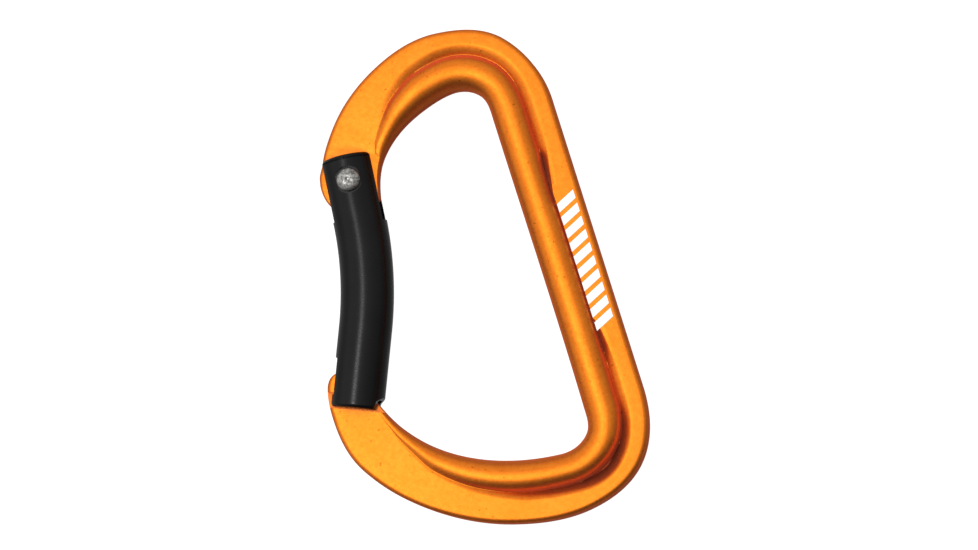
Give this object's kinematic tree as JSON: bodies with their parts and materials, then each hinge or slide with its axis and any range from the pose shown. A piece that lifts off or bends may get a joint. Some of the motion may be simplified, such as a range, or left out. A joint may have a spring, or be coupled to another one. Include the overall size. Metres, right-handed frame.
{
  "type": "bent-gate climbing carabiner",
  "caption": "D-shaped climbing carabiner with a round rope rib, a flat outer flange and a bent rod gate that springs shut on a hooked nose.",
  "frame": {"origin": "middle of the bottom of the bounding box, the carabiner lying flat", "axes": "+X from the gate to the spine, +Y along the spine toward the hinge end, +Z through the thickness, up"},
  "size_m": [0.0606, 0.1, 0.0118],
  "materials": {
    "orange_anodised_aluminium": "satin orange anodising over a fine blasted surface",
    "black_anodised_aluminium": "satin black anodising",
    "rivet_steel": "dull, lightly mottled steel",
    "spring_steel": "drawn wire",
    "plunger_steel": "turned steel"
  },
  "bodies": {
    "frame": {"frame": "orange_anodised_aluminium"},
    "gate": {"gate": "black_anodised_aluminium", "pivot_rivet": "rivet_steel", "gate_spring": "spring_steel"},
    "plunger": {"spring_plunger": "plunger_steel"}
  },
  "joints": [
    {"name": "gate_hinge", "type": "hinge", "parent": "frame", "child": "gate", "pos_m": [-0.01283, 0.02694, 0.0059], "axis": [0, 0, 1], "range_deg": [0, 30], "stiffness_Nm_per_rad": 0.11, "springref_deg": -40.11},
    {"name": "plunger_slide", "type": "slide", "parent": "gate", "child": "plunger", "axis": [-0.0927, -0.9957, 0], "range_m": [0, 0.00085], "deforming": ["gate_spring"]}
  ],
  "couplings": [
    {"joint": "plunger_slide", "follows": "gate_hinge", "m_per_rad": 0.0016}
  ]
}
